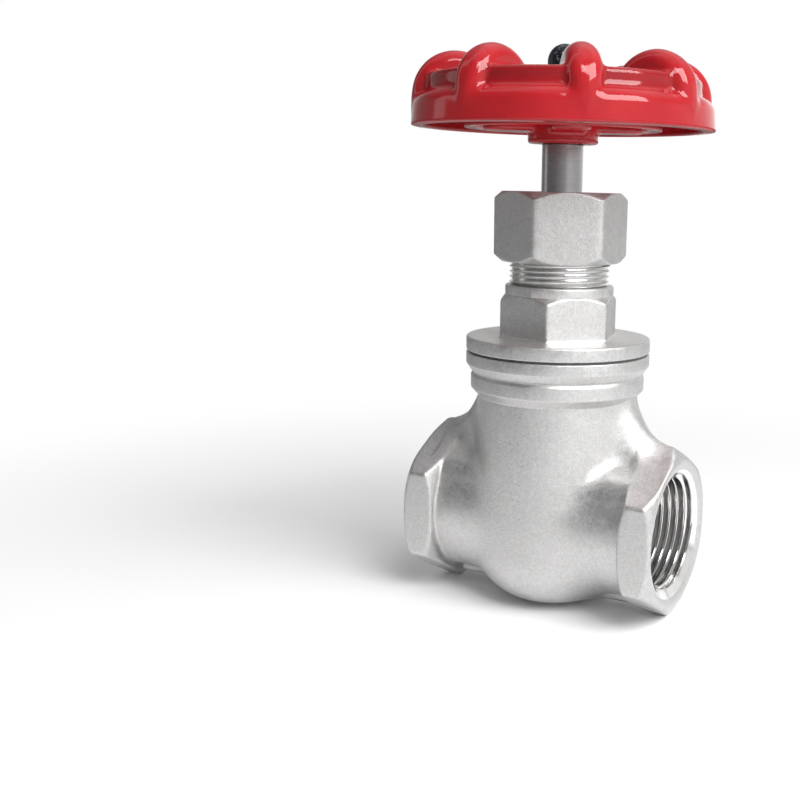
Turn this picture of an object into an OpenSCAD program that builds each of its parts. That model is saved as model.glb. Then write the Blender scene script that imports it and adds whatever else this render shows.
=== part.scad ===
/* [Body] */
// Face to face length of the run
face_to_face = 60; // [56:0.5:70]
// Width across the flats of the threaded ends
end_flats = 33; // [32:0.25:36]
// Length of each hexagonal end
end_length = 7.4; // [6:0.1:9]
// Minor diameter of the pipe thread in the ports
port_minor_d = 24.2; // [23.4:0.1:24.6]
// Depth of the pipe thread in the ports
port_thread_depth = 14; // [11:0.5:15]
// Diameter of the waterway through the seats
waterway_d = 20; // [16:0.5:20]
// Outer diameter of the pipe behind each hexagonal end
pipe_d = 30; // [29:0.25:31]
// Outer diameter of the upright gate chamber
chamber_d = 35; // [34.5:0.25:36]
// Wall of the gate chamber
chamber_wall = 3; // [2.6:0.1:3]
// Depth of the chamber floor below the run axis, outside
chamber_drop = 18.6; // [18:0.1:20]
// Step in from the bonnet flange to the collar around the top of the chamber
neck_ring_step = 1.05; // [0.7:0.05:1.3]
// Height of the underside of that collar above the run axis
neck_ring_z = 29; // [28.8:0.1:29.4]

/* [Bonnet] */
// Height of the top of the body above the run axis
body_top_z = 37.4; // [37:0.1:38]
// Thickness of the bonnet gasket
gasket_t = 0.5; // [0.4:0.1:0.8]
// Diameter of the bonnet flange
flange_d = 40.3; // [39.6:0.1:41]
// Thickness of the bonnet flange
flange_t = 2.9; // [2.6:0.1:3.4]
// Width across the flats of the bonnet hexagon
bonnet_flats = 23.3; // [22.8:0.1:23.6]
// Height of the bonnet hexagon
bonnet_hex_h = 8.1; // [7.8:0.1:9]
// Major diameter of the thread under the gland nut
nut_thread_d = 22; // [21.6:0.1:22.4]
// Width of the land around the neck bore that carries the gasket
neck_land = 4.45; // [4.2:0.05:4.6]
// Wall of the bonnet's threaded skirt inside the neck
skirt_wall = 2.5; // [2:0.1:2.6]

/* [Stem and packing] */
// Diameter of the stem where it leaves the gland nut
stem_d = 8.8; // [8.4:0.1:9]
// Diameter of the thrust collar on the stem
collar_d = 13.6; // [13:0.1:13.8]
// Thickness of the thrust collar
collar_t = 3; // [2.4:0.1:3.4]
// Major diameter of the screw that lifts the gate
screw_d = 8; // [7.6:0.1:8]
// Rise of the gate for one turn of the stem
screw_lead = 3; // [2:0.25:4]
// Thickness of one packing ring
packing_t = 3; // [2.8:0.1:3.2]
// Width across the flats of the gland nut
gland_nut_flats = 25.4; // [25:0.1:26]
// Height of the gland nut
gland_nut_h = 14.7; // [13.6:0.1:15]
// Height of the thread under the gland nut
nut_thread_h = 14.2; // [13.8:0.1:14.6]
// Radial running clearance on the stem
running_gap = 0.05; // [0.02:0.01:0.08]

/* [Gate] */
// Diameter of the wedge
wedge_d = 25.2; // [24.6:0.1:25.4]
// Thickness of the wedge on the run axis
wedge_t = 12; // [11.6:0.1:12.2]
// Slope of each seat face from upright
seat_angle = 5; // [4:0.5:6]
// Lift of the wedge from shut to open
gate_lift = 22; // [21:0.25:22]

/* [Handwheel] */
// Diameter of the handwheel
wheel_d = 64; // [60:0.5:70]
// Height of the wheel's lower edge above the run axis
wheel_z = 84.6; // [84.5:0.1:90]
// Angle that the wheel stands at when the gate is shut
wheel_turn = -56; // [-90:1:90]
// Number of finger lobes
lobe_count = 8; // [6:1:10]
// Radius of one lobe, seen from its side
lobe_r = 8.8; // [8:0.1:9]
// Thickness of one lobe
lobe_t = 6.6; // [5:0.25:7]
// Height of the smooth outer band
band_h = 6; // [5.5:0.1:6.8]
// Height of the rim between the lobes
rim_h = 10.3; // [10:0.1:11]
// Diameter of the hub
hub_d = 15; // [14:0.25:17]
// Number of spokes
spoke_count = 4; // [3:1:6]
// Width of a spoke
spoke_w = 8.2; // [7:0.1:9]
// Width across the flats of the nut that holds the wheel
wheel_nut_flats = 8; // [7:0.5:8]
// Height of that nut, with its dome
wheel_nut_h = 9.7; // [9.4:0.1:10.5]
// Diameter of the washer under it
wheel_washer_d = 10.8; // [10:0.1:12]

/* [Hidden] */

round_fn = 96;
eps = 0.01;
touch_gap = 0.03;
edge_break = 0.5;

// run and ports
half_run = face_to_face / 2;
port_r = port_minor_d / 2;
port_lead_in = 1.6;
port_relief = 1;
seat_land = 0.4;
seat_ring_r = wedge_d / 2 + seat_land;
hex_crown = 1.6;

// chamber and neck
chamber_r = chamber_d / 2;
cavity_r = chamber_r - chamber_wall;
cavity_floor_z = -(chamber_drop - chamber_wall);
chamber_floor_round = 12;
flange_r = flange_d / 2;
neck_ring_r = flange_r - neck_ring_step;
neck_thread_r = flange_r - neck_land;
neck_bore_r = neck_thread_r + touch_gap;
neck_bore_z = neck_ring_z - edge_break;
neck_chamfer = 1.8;
neck_groove_z = body_top_z - 4.3;
neck_foot = 1.2;
rail_w = 3;
rail_gap = 0.3;
rail_face_y = wedge_d / 2 + rail_gap;
shoulder_foot_z = 11;
shoulder_foot_r = 10.4;
shoulder_top_r = 2.6;
shoulder_overrun = 5;
shoulder_w = 13.4;
saddle_w = 25.2;
saddle_drop = 0.1;
keel_w = 5;
keel_h = 1.6;

// bonnet levels
flange_z = body_top_z + gasket_t;
hex_base_z = flange_z + flange_t;
hex_foot_h = 1.1;
hex_foot_flare = 0.9;
hex_top_z = hex_base_z + hex_foot_h + bonnet_hex_h;
bonnet_crown = 1.2;
bonnet_turn = 45.5;
nut_collar_h = 2;
nut_collar_step = 0.8;
thread_z = hex_top_z + nut_collar_h;
thread_top_z = thread_z + nut_thread_h;
box_floor_t = 5.6;
box_r = collar_d / 2 + running_gap;
skirt_bore_r = neck_thread_r - skirt_wall;
skirt_bore_top = gate_lift + wedge_d / 2 + 1.4;
boss_wall = 2.4;
boss_r = screw_d / 2 + boss_wall;
boss_top = 18;
boss_room = 1.4;
boss_pocket_top = boss_top + gate_lift + 0.8;
collar_seat_z = boss_pocket_top + box_floor_t;

// stem stack above the collar
collar_z = collar_seat_z + touch_gap;
washer_z = collar_z + collar_t + touch_gap;
washer_t = 1;
packing_z = washer_z + washer_t;
gland_z = packing_z + 3 * packing_t;
gland_head_gap = 0.3;
gland_head_t = 1.3;
gland_head_z = thread_top_z + gland_head_gap;
gland_head_r = nut_thread_d / 2 - 1.2;
nut_ceiling_z = gland_head_z + gland_head_t;
nut_ceiling_t = 3.9;
nut_top_z = nut_ceiling_z + nut_ceiling_t;
nut_z = nut_top_z - gland_nut_h;
nut_turn = 33;
nut_crown = 1.6;
nut_hole_gap = 0.3;
stem_r = stem_d / 2;
stem_hole_r = stem_r + running_gap;
screw_engagement = 2 * screw_lead;
screw_end_z = boss_top - screw_engagement;

// wheel levels
wheel_r = wheel_d / 2;
hub_drop = 3;
hub_rise = 6.7;
hub_z = wheel_z - hub_drop;
square_w = 6.3;
square_gap = 0.08;
square_short = 0.3;
wheel_washer_t = 0.9;
wheel_washer_z = wheel_z + hub_rise;
stud_r = 2.5;
wheel_nut_z = wheel_washer_z + wheel_washer_t;
wheel_nut_hex_h = 4;
wheel_nut_crown = 0.5;
dome_r = wheel_nut_flats / 2 - 0.4;
dome_centre_z = wheel_nut_z + wheel_nut_h - dome_r;
stud_top_z = dome_centre_z;
rim_shell = 2.6;
rim_tube_w = 13.6;
rim_recess = 3.2;
rim_edge = 1;
lobe_rise = 4.5;
lobe_inset = 0.2;
spoke_low = -0.6;
spoke_top = 4.6;
spoke_step = 2.4;
spoke_foot_r = 16.8;

// The model's origin is where the full thread begins in the inlet port
module on_stem_axis() {
    translate([half_run - port_lead_in, 0, 0])
        children();
}

module on_wheel() {
    on_stem_axis()
        rotate([0, 0, wheel_turn])
            children();
}

module along_run() {
    rotate([0, 90, 0])
        children();
}

module ring(outer_r, inner_r, h) {
    difference() {
        cylinder(h = h, r = outer_r, $fn = round_fn);
        translate([0, 0, -1])
            cylinder(h = h + 2, r = inner_r, $fn = round_fn);
    }
}

// Hexagonal prism whose corners are turned down to a round crown at one or both ends
module crowned_hex(flats, h, crown, low = true) {
    corner_r = flats / sqrt(3);
    low_r = low ? flats / 2 : corner_r + 1;
    low_crown = low ? crown : 0;
    intersection() {
        cylinder(h = h, r = corner_r, $fn = 6);
        rotate_extrude($fn = round_fn)
            polygon([[0, 0],
                     [low_r, 0],
                     [corner_r + (low ? 0 : 1), low_crown],
                     [corner_r, h - crown],
                     [flats / 2, h],
                     [0, h]]);
    }
}

// ---- body ----

// Half section of an upright cylinder whose floor is rounded at the edge
module round_floored(r, floor_z, top_z, round_r) {
    translate([0, floor_z])
        square([r - round_r, round_r]);
    translate([0, floor_z + round_r])
        square([r, top_z - floor_z - round_r]);
    intersection() {
        translate([r - round_r, floor_z + round_r])
            circle(r = round_r, $fn = round_fn);
        translate([0, floor_z])
            square([r, round_r]);
    }
}

module chamber_outside() {
    rotate_extrude($fn = round_fn)
        union() {
            round_floored(chamber_r, -chamber_drop, neck_ring_z, chamber_floor_round);
            polygon([[0, neck_ring_z - neck_foot],
                     [chamber_r, neck_ring_z - neck_foot],
                     [neck_ring_r, neck_ring_z + edge_break],
                     [neck_ring_r, neck_groove_z - 2 * edge_break],
                     [neck_ring_r - edge_break / 2, neck_groove_z],
                     [flange_r, neck_groove_z + neck_chamfer],
                     [flange_r, body_top_z],
                     [0, body_top_z]]);
        }
}

module run_outside() {
    translate([-half_run, 0, 0])
        along_run()
            cylinder(h = face_to_face, r = pipe_d / 2, $fn = round_fn);
    for (side = [0, 1])
        mirror([side, 0, 0])
            translate([half_run - end_length, 0, 0])
                along_run()
                    crowned_hex(end_flats, end_length, hex_crown);
}

// Rounded shoulder that carries the neck down onto each end, narrow at the neck and wide below
module shoulder() {
    foot_x = half_run - end_length - shoulder_foot_r + shoulder_overrun;
    rise = neck_ring_z + edge_break - shoulder_foot_z;
    lean = atan2(foot_x - (chamber_r - shoulder_top_r) + edge_break, rise);
    intersection() {
        translate([foot_x, 0, shoulder_foot_z])
            rotate([0, -lean, 0])
                cylinder(h = rise / cos(lean), r1 = shoulder_foot_r, r2 = shoulder_top_r, $fn = round_fn);
        translate([0, -shoulder_w / 2, 0])
            cube([half_run, shoulder_w, body_top_z]);
    }
}

// Saddle that carries the upper flats of each hexagon back over the run to the chamber
module saddle() {
    intersection() {
        along_run()
            cylinder(h = half_run - end_length + 1, r = (end_flats - 2 * saddle_drop) / sqrt(3), $fn = 6);
        translate([0, -saddle_w / 2, 0])
            cube([half_run, saddle_w, end_flats]);
    }
}

// Low cast rib along the underside of each end
module keel() {
    translate([0, -keel_w / 2, -pipe_d / 2 - keel_h])
        cube([half_run - end_length + 1, keel_w, pipe_d / 4]);
}

// Solid that stays inside the cavity on each side as the seat ring
module seat_ring_side() {
    intersection() {
        along_run()
            cylinder(h = half_run, r = seat_ring_r, $fn = round_fn);
        rotate([0, seat_angle, 0])
            translate([wedge_t / 2 * cos(seat_angle), -half_run, -half_run])
                cube([face_to_face, face_to_face, face_to_face]);
    }
}

module chamber_cavity() {
    difference() {
        rotate_extrude($fn = round_fn)
            round_floored(cavity_r, cavity_floor_z, neck_bore_z + eps, chamber_floor_round - chamber_wall);
        for (side = [0, 1])
            mirror([side, 0, 0])
                seat_ring_side();
        for (side = [0, 1])
            mirror([0, side, 0])
                translate([-rail_w / 2, rail_face_y, cavity_floor_z - 1])
                    cube([rail_w, cavity_r, neck_bore_z - cavity_floor_z + 1]);
    }
}

module port_bore() {
    seat_side = wedge_t / 2 - 2;
    translate([seat_side, 0, 0])
        along_run()
            cylinder(h = half_run - seat_side + 1, r = waterway_d / 2, $fn = round_fn);
    translate([half_run - port_thread_depth - port_relief, 0, 0])
        along_run()
            cylinder(h = port_thread_depth + port_relief + 1, r = port_r, $fn = round_fn);
    translate([half_run - port_lead_in, 0, 0])
        along_run()
            cylinder(h = port_lead_in + eps, r1 = port_r, r2 = port_r + 2 * port_lead_in, $fn = round_fn);
}

module body() {
    color("gainsboro")
        on_stem_axis()
            difference() {
                union() {
                    chamber_outside();
                    run_outside();
                    for (side = [0, 1])
                        mirror([side, 0, 0])
                            union() {
                                shoulder();
                                saddle();
                                keel();
                            }
                }
                chamber_cavity();
                translate([0, 0, neck_bore_z])
                    cylinder(h = body_top_z, r = neck_bore_r, $fn = round_fn);
                for (side = [0, 1])
                    mirror([side, 0, 0])
                        port_bore();
            }
}

// ---- bonnet ----

module bonnet_gasket() {
    color("whitesmoke")
        on_stem_axis()
            translate([0, 0, body_top_z])
                ring(flange_r - edge_break, neck_bore_r, gasket_t);
}

module bonnet_outside() {
    rotate_extrude($fn = round_fn)
        polygon([[0, neck_bore_z],
                 [neck_thread_r - edge_break, neck_bore_z],
                 [neck_thread_r, neck_bore_z + edge_break],
                 [neck_thread_r, flange_z],
                 [flange_r, flange_z],
                 [flange_r, hex_base_z - edge_break],
                 [flange_r - edge_break, hex_base_z],
                 [bonnet_flats / 2 + hex_foot_flare, hex_base_z],
                 [bonnet_flats / 2, hex_base_z + hex_foot_h],
                 [0, hex_base_z + hex_foot_h]]);
    translate([0, 0, hex_base_z + hex_foot_h - eps])
        rotate([0, 0, bonnet_turn])
            crowned_hex(bonnet_flats, bonnet_hex_h + eps, bonnet_crown, low = false);
    translate([0, 0, hex_top_z - 1])
        cylinder(h = nut_collar_h + 1, r = nut_thread_d / 2 + nut_collar_step, $fn = round_fn);
    translate([0, 0, thread_z - 1])
        cylinder(h = nut_thread_h + 1, r = nut_thread_d / 2, $fn = round_fn);
}

module bonnet() {
    color("gainsboro")
        on_stem_axis()
            difference() {
                bonnet_outside();
                translate([0, 0, neck_bore_z - 1])
                    cylinder(h = skirt_bore_top - neck_bore_z + 1, r = skirt_bore_r, $fn = round_fn);
                translate([0, 0, neck_bore_z])
                    cylinder(h = boss_pocket_top - neck_bore_z, r = boss_r + boss_room, $fn = round_fn);
                translate([0, 0, neck_bore_z])
                    cylinder(h = thread_top_z, r = screw_d / 2 + running_gap, $fn = round_fn);
                translate([0, 0, collar_seat_z])
                    cylinder(h = thread_top_z, r = box_r, $fn = round_fn);
            }
}

// ---- gland and packing ----

module gland_nut() {
    color("lightgray")
        on_stem_axis()
            difference() {
                translate([0, 0, nut_z])
                    rotate([0, 0, nut_turn])
                        crowned_hex(gland_nut_flats, gland_nut_h, nut_crown);
                translate([0, 0, nut_z - 1])
                    cylinder(h = nut_ceiling_z - nut_z + 1, r = nut_thread_d / 2 + touch_gap,
                             $fn = round_fn);
                translate([0, 0, nut_z])
                    cylinder(h = gland_nut_h + 1, r = stem_r + nut_hole_gap, $fn = round_fn);
            }
}

module gland() {
    color("silver")
        on_stem_axis()
            difference() {
                union() {
                    translate([0, 0, gland_z])
                        cylinder(h = nut_ceiling_z - gland_z, r = box_r - touch_gap, $fn = round_fn);
                    translate([0, 0, gland_head_z])
                        cylinder(h = gland_head_t, r = gland_head_r, $fn = round_fn);
                }
                translate([0, 0, gland_z - 1])
                    cylinder(h = nut_top_z, r = stem_hole_r, $fn = round_fn);
            }
}

module packing_washer() {
    color("silver")
        on_stem_axis()
            translate([0, 0, washer_z])
                ring(box_r - touch_gap, stem_hole_r, washer_t);
}

module packing_ring(level) {
    color("white")
        on_stem_axis()
            translate([0, 0, packing_z + level * packing_t])
                ring(box_r - touch_gap, stem_hole_r, packing_t);
}

module packing_ring_lower() { packing_ring(0); }
module packing_ring_middle() { packing_ring(1); }
module packing_ring_upper() { packing_ring(2); }

// ---- moving pieces ----

module stem() {
    square_h = hub_drop + hub_rise - square_short;
    color("darkgray")
        on_wheel() {
            translate([0, 0, screw_end_z])
                cylinder(h = collar_z - screw_end_z + eps, r = screw_d / 2, $fn = round_fn);
            translate([0, 0, collar_z])
                cylinder(h = collar_t, r = collar_d / 2, $fn = round_fn);
            translate([0, 0, collar_z])
                cylinder(h = hub_z - collar_z, r = stem_r, $fn = round_fn);
            intersection() {
                translate([-square_w / 2, -square_w / 2, hub_z - 1])
                    cube([square_w, square_w, square_h + 1]);
                translate([0, 0, hub_z - 1])
                    cylinder(h = square_h + 2, r = stem_r, $fn = round_fn);
            }
            translate([0, 0, hub_z])
                cylinder(h = stud_top_z - hub_z, r = stud_r, $fn = round_fn);
        }
}

module wedge_half() {
    face_x = (wedge_t / 2 - touch_gap) * cos(seat_angle);
    intersection() {
        along_run()
            cylinder(h = wedge_t, r = wedge_d / 2, $fn = round_fn);
        rotate([0, seat_angle, 0])
            translate([face_x - face_to_face, -half_run, -half_run])
                cube([face_to_face, face_to_face, face_to_face]);
    }
}

// Ears on each side that straddle the guide rails in the chamber
module wedge_ears() {
    ear_w = rail_w + 5;
    ear_h = 9;
    ear_low = -4;
    ear_y = rail_face_y + 0.7;
    difference() {
        translate([-ear_w / 2, -ear_y, ear_low])
            cube([ear_w, 2 * ear_y, ear_h]);
        for (side = [0, 1])
            mirror([0, side, 0])
                translate([-rail_w / 2 - rail_gap, rail_face_y - rail_gap, ear_low - 1])
                    cube([rail_w + 2 * rail_gap, rail_w, ear_h + 2]);
    }
}

module wedge() {
    screw_room = 0.6;
    bore_z = screw_end_z - gate_lift - screw_room;
    color("gainsboro")
        on_stem_axis()
            difference() {
                union() {
                    for (side = [0, 1])
                        mirror([side, 0, 0])
                            wedge_half();
                    cylinder(h = boss_top, r = boss_r, $fn = round_fn);
                    wedge_ears();
                }
                translate([0, 0, bore_z])
                    cylinder(h = boss_top - bore_z + 1, r = screw_d / 2 + running_gap, $fn = round_fn);
            }
}

// ---- handwheel ----

module rim() {
    inner_r = wheel_r - rim_tube_w;
    recess_r = wheel_r - rim_recess;
    rotate_extrude($fn = round_fn)
        difference() {
            polygon([[inner_r, 2 * rim_edge],
                     [inner_r, rim_h - rim_edge],
                     [inner_r + rim_edge, rim_h],
                     [recess_r - rim_edge, rim_h],
                     [recess_r, rim_h - rim_edge],
                     [recess_r, band_h + rim_edge],
                     [wheel_r - rim_edge, band_h],
                     [wheel_r - rim_edge / 2, band_h - rim_edge / 2],
                     [wheel_r, 0],
                     [wheel_r - rim_shell, 0],
                     [wheel_r - rim_shell, 2 * rim_edge]]);
            translate([inner_r + rim_shell, -1])
                square([recess_r - inner_r - 2 * rim_shell, rim_h - rim_shell + 1]);
        }
}

// Finger lobe: an upright disc across the rim, standing on the outer band
module lobe() {
    centre_r = wheel_r - lobe_inset - lobe_r;
    centre_z = rim_h + lobe_rise - lobe_r;
    rotate([90, 0, 0])
        translate([0, 0, -lobe_t / 2])
            linear_extrude(lobe_t)
                difference() {
                    union() {
                        translate([centre_r, centre_z])
                            circle(r = lobe_r, $fn = round_fn);
                        translate([centre_r, 0])
                            square([lobe_r, centre_z]);
                    }
                    translate([0, -lobe_r])
                        square([wheel_r - rim_shell, lobe_r + centre_z - 2 * rim_edge]);
                }
}

module spokes() {
    for (i = [0 : spoke_count - 1])
        rotate([0, 0, i * 360 / spoke_count]) {
            translate([0, -spoke_w / 2, spoke_low])
                cube([spoke_foot_r, spoke_w, spoke_top - spoke_low]);
            translate([0, -spoke_w / 2, spoke_step])
                cube([wheel_r - rim_tube_w + rim_edge, spoke_w, spoke_top - spoke_step]);
        }
}

module handwheel() {
    square_hole = square_w + 2 * square_gap;
    color("crimson")
        on_wheel()
            translate([0, 0, wheel_z])
                difference() {
                    union() {
                        rim();
                        for (i = [0 : lobe_count - 1])
                            rotate([0, 0, i * 360 / lobe_count])
                                lobe();
                        spokes();
                        translate([0, 0, -hub_drop])
                            cylinder(h = hub_drop + hub_rise, r = hub_d / 2, $fn = round_fn);
                    }
                    translate([-square_hole / 2, -square_hole / 2, -hub_drop - 1])
                        cube([square_hole, square_hole, hub_drop + hub_rise + 2]);
                }
}

module wheel_washer() {
    color("silver")
        on_stem_axis()
            translate([0, 0, wheel_washer_z])
                ring(wheel_washer_d / 2, stud_r + touch_gap, wheel_washer_t);
}

module wheel_nut() {
    color("dimgray")
        on_stem_axis()
            difference() {
                union() {
                    translate([0, 0, wheel_nut_z])
                        crowned_hex(wheel_nut_flats, wheel_nut_hex_h, wheel_nut_crown, low = false);
                    translate([0, 0, wheel_nut_z])
                        cylinder(h = dome_centre_z - wheel_nut_z, r = dome_r, $fn = round_fn);
                    translate([0, 0, dome_centre_z])
                        sphere(r = dome_r, $fn = round_fn);
                }
                translate([0, 0, wheel_nut_z - 1])
                    cylinder(h = stud_top_z - wheel_nut_z + 1 + touch_gap, r = stud_r + touch_gap,
                             $fn = round_fn);
            }
}

body();
bonnet();
bonnet_gasket();
gland_nut();
gland();
packing_washer();
packing_ring_lower();
packing_ring_middle();
packing_ring_upper();
stem();
wedge();
handwheel();
wheel_washer();
wheel_nut();
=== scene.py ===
import math

import bmesh
import bpy
import numpy as np
from mathutils import Matrix, Vector


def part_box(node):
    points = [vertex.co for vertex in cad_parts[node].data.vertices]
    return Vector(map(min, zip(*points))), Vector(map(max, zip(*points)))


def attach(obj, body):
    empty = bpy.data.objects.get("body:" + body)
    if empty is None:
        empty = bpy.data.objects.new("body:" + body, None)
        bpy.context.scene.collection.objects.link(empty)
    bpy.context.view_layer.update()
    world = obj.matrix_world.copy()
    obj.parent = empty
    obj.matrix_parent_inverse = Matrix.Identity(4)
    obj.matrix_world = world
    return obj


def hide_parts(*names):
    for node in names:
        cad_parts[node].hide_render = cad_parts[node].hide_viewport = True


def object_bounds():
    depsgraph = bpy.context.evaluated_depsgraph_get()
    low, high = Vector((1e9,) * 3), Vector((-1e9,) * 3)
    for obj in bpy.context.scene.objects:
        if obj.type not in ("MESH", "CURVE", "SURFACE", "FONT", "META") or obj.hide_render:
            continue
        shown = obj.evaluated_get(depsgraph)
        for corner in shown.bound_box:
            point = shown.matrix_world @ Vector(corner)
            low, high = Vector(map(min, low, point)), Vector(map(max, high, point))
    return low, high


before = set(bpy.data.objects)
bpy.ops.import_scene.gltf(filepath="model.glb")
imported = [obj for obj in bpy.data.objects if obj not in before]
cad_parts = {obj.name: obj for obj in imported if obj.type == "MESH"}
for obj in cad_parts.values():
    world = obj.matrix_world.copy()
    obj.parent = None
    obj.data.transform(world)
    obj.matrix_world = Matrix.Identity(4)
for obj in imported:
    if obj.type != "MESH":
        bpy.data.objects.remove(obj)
cad_low, cad_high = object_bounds()
MM = 0.001

# ==== Camera ====
# The camera stands a quarter of a metre off and above the run axis, so it looks down into the outlet and up a
# little under the handwheel. The picture is shifted to leave room on the left, and leans by about a degree.

stem_low, stem_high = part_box("stem")
axis_x = (stem_low.x + stem_high.x) / 2
camera_azimuth, camera_elevation, camera_roll = (math.radians(a) for a in (26.522, 12.437, 1.39))
camera_target = Vector((axis_x, 0, 20 * MM))
camera_distance = 246.47 * MM

camera_data = bpy.data.cameras.new("camera")
camera_data.lens = 49.5
camera_data.sensor_width = 36
camera_data.shift_x = -0.19505
camera_data.shift_y = 0.035
camera_data.clip_start = 0.01
camera = bpy.data.objects.new("camera", camera_data)
bpy.context.scene.collection.objects.link(camera)
bpy.context.scene.camera = camera
toward_camera = Vector((math.sin(camera_azimuth) * math.cos(camera_elevation),
                        -math.cos(camera_azimuth) * math.cos(camera_elevation),
                        math.sin(camera_elevation)))
aim = (-toward_camera).to_track_quat("-Z", "Y").to_matrix().to_4x4()
camera.matrix_world = (Matrix.Translation(camera_target + toward_camera * camera_distance)
                       @ aim @ Matrix.Rotation(camera_roll, 4, "Z"))

# ==== Studio ====
# A pale seamless floor and a white surround, with a big soft box on the right, a small one in front and a
# faint one overhead. Where the metal reflects them, the surround is dimmer on the left and halfway up, and
# the floor is dimmer on the left: that gives the metal its dark sides.

scene = bpy.context.scene
scene.view_settings.view_transform = "Standard"


class Value:
    """One number of a node tree, so that sizes and shades can be worked out with plain arithmetic."""

    def __init__(self, tree, socket):
        self.tree, self.socket = tree, socket

    def work(self, operation, *others, clamp=False):
        node = self.tree.nodes.new("ShaderNodeMath")
        node.operation = operation
        node.use_clamp = clamp
        for socket, item in zip(node.inputs, (self, *others)):
            feed(self.tree, item, socket)
        return Value(self.tree, node.outputs[0])

    def __add__(self, other):
        return self.work("ADD", other)

    def __sub__(self, other):
        return self.work("SUBTRACT", other)

    def __rsub__(self, other):
        return self.work("MULTIPLY_ADD", -1, other)

    def __mul__(self, other):
        return self.work("MULTIPLY", other)

    def __truediv__(self, other):
        return self.work("DIVIDE", other)

    def __neg__(self):
        return self.work("MULTIPLY", -1)

    def __abs__(self):
        return self.work("ABSOLUTE")

    __radd__, __rmul__ = __add__, __mul__


def feed(tree, item, socket):
    """Gives a socket a fixed number or colour, or links a value or another socket to it."""
    if isinstance(item, Value):
        tree.links.new(item.socket, socket)
    elif isinstance(item, bpy.types.NodeSocket):
        tree.links.new(item, socket)
    else:
        socket.default_value = item


def add_node(tree, kind, settings=None, **inputs):
    """A node with its settings and inputs. An input goes by its name, with _ for a space, or as n0, n1."""
    node = tree.nodes.new(kind)
    for name, value in (settings or {}).items():
        setattr(node, name, value)
    for name, item in inputs.items():
        key = int(name[1:]) if name[0] == "n" and name[1:].isdigit() else name.replace("_", " ")
        feed(tree, item, node.inputs[key])
    return node


def ramp(tree, factor, stops, smooth=False):
    """A colour ramp through (place, grey or colour) stops."""
    node = add_node(tree, "ShaderNodeValToRGB", Fac=factor)
    node.color_ramp.interpolation = "EASE" if smooth else "LINEAR"
    elements = node.color_ramp.elements
    while len(elements) < len(stops):
        elements.new(0.5)
    for element, (position, shade) in zip(elements, stops):
        element.position = position
        element.color = (*shade, 1) if isinstance(shade, tuple) else (shade, shade, shade, 1)
    return node.outputs["Color"]


def axes_of(tree, socket):
    split = add_node(tree, "ShaderNodeSeparateXYZ", n0=socket)
    return [Value(tree, split.outputs[i]) for i in range(3)]


def length_of(*parts):
    total = parts[0] * parts[0]
    for part in parts[1:]:
        total = total + part * part
    return total.work("SQRT")


def least(a, b):
    return a.work("MINIMUM", b)


def most(a, b):
    return a.work("MAXIMUM", b)


world = bpy.data.worlds.new("surround")
scene.world = world
world.use_nodes = True
sky = world.node_tree
sky.nodes.clear()
east, north, up = axes_of(sky, add_node(sky, "ShaderNodeTexCoord").outputs["Generated"])
right_x, right_y = math.cos(camera_azimuth), math.sin(camera_azimuth)
across = (east * right_x + north * right_y) * 0.5 + 0.5
nearness = (east * right_y - north * right_x) * 0.5 + 0.5

# Shades of the surround from left to right and from the horizon to overhead, on the camera's side of the
# valve and then behind it
front_across = [(0, 0.22), (0.15, 0.25), (0.38, 0.42), (0.55, 0.58), (0.62, 0.60), (0.8, 1.15), (1, 0.90)]
front_up = [(0, 1.05), (0.2, 0.95), (0.5, 0.58), (0.85, 0.58), (1, 0.70)]
back_across = [(0, 0.20), (0.18, 0.24), (0.38, 0.60), (0.47, 1.0), (0.58, 1.20), (0.75, 1.05), (1, 0.72)]
back_up = [(0, 1.25), (0.22, 1.20), (0.40, 0.50), (0.60, 0.45), (0.86, 0.95), (1, 0.70)]
front = Value(sky, ramp(sky, across, front_across)) * Value(sky, ramp(sky, up, front_up))
back = Value(sky, ramp(sky, across, back_across)) * Value(sky, ramp(sky, up, back_up))
behind = Value(sky, ramp(sky, nearness, [(0.38, 1), (0.62, 0)]))

# A narrow bright strip on the left that draws a light line down the metal's dark side
strip_azimuth = math.radians(-78)
strip_shade = 0.8
surround_strength = 0.9
sideways = (east * math.sin(strip_azimuth) - north * math.cos(strip_azimuth)) / length_of(east, north)
strip = Value(sky, ramp(sky, sideways, [(0.990, 0), (0.996, 1)]))
shade = front + (back - front) * behind + strip * strip_shade
rays = add_node(sky, "ShaderNodeLightPath")
seen = add_node(sky, "ShaderNodeBackground", Color=(1, 1, 1, 1), Strength=1)
lit = add_node(sky, "ShaderNodeBackground", Color=(1, 1, 1, 1), Strength=shade * surround_strength)
either = add_node(sky, "ShaderNodeMixShader", n0=rays.outputs["Is Camera Ray"], n1=lit.outputs[0],
                  n2=seen.outputs[0])
add_node(sky, "ShaderNodeOutputWorld", Surface=either.outputs[0])

aim_height = 50 * MM


def soft_box(name, azimuth, elevation, distance, width, height, power):
    """An area lamp that faces the valve from one side, with angles in degrees and sizes in metres."""
    lamp = bpy.data.lights.new(name, "AREA")
    lamp.shape = "RECTANGLE"
    lamp.size, lamp.size_y, lamp.energy = width, height, power
    box = bpy.data.objects.new(name, lamp)
    scene.collection.objects.link(box)
    a, e = math.radians(azimuth), math.radians(elevation)
    away = Vector((math.sin(a) * math.cos(e), -math.cos(a) * math.cos(e), math.sin(e)))
    box.matrix_world = (Matrix.Translation(Vector((axis_x, 0, aim_height)) + away * distance)
                        @ (-away).to_track_quat("-Z", "Y").to_matrix().to_4x4())


soft_box("right_box", azimuth=70, elevation=42, distance=0.60, width=0.44, height=0.36, power=4.2)
soft_box("front_box", azimuth=34, elevation=50, distance=0.55, width=0.12, height=0.16, power=0.4)
soft_box("top_box", azimuth=-20, elevation=80, distance=0.60, width=0.40, height=0.40, power=0.15)

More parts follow.
